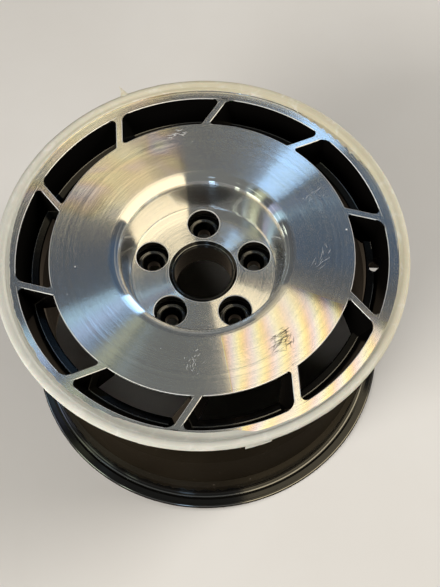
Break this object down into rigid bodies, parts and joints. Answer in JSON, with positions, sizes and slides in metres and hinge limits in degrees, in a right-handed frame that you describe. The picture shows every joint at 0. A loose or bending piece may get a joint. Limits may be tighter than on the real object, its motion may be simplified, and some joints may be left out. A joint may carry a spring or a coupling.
{
  "type": "forged racing wheel rim",
  "caption": "Wide deep-dished wheel rim: turned face forging with swept blades, bolted barrel, steel bolt seats, hub spigot ring and masking tape on the lip.",
  "frame": {"origin": "centre of the hub mounting face, on the wheel's axis", "axes": "+Z along the wheel's axis towards the street side; +Y through the first wheel bolt; +X beside the valve hole"},
  "size_m": [0.4414, 0.4414, 0.2624],
  "materials": {
    "turned_alloy": "turned bright, with black paint in the pockets",
    "black_coat": "semi-gloss black coating on aluminium",
    "seal_rubber": "matt",
    "bolt_steel": "zinc plated",
    "washer_steel": "zinc plated",
    "spigot_black": "black anodised",
    "seat_steel": "black oxide",
    "masking_tape": "creped paper tape"
  },
  "bodies": {
    "root": {"face_hub": "turned_alloy", "face_disc": "turned_alloy", "face_blades": "turned_alloy", "face_ring": "turned_alloy", "rim_barrel": "black_coat", "barrel_seal_ring": "seal_rubber", "barrel_bolts": "bolt_steel", "barrel_washers": "washer_steel", "barrel_nuts": "bolt_steel", "hub_spigot_ring": "spigot_black", "lug_seat_1": "seat_steel", "lug_seat_2": "seat_steel", "lug_seat_3": "seat_steel", "lug_seat_4": "seat_steel", "lug_seat_5": "seat_steel", "lip_tape": "masking_tape", "tape_patch": "masking_tape"}
  },
  "joints": []
}
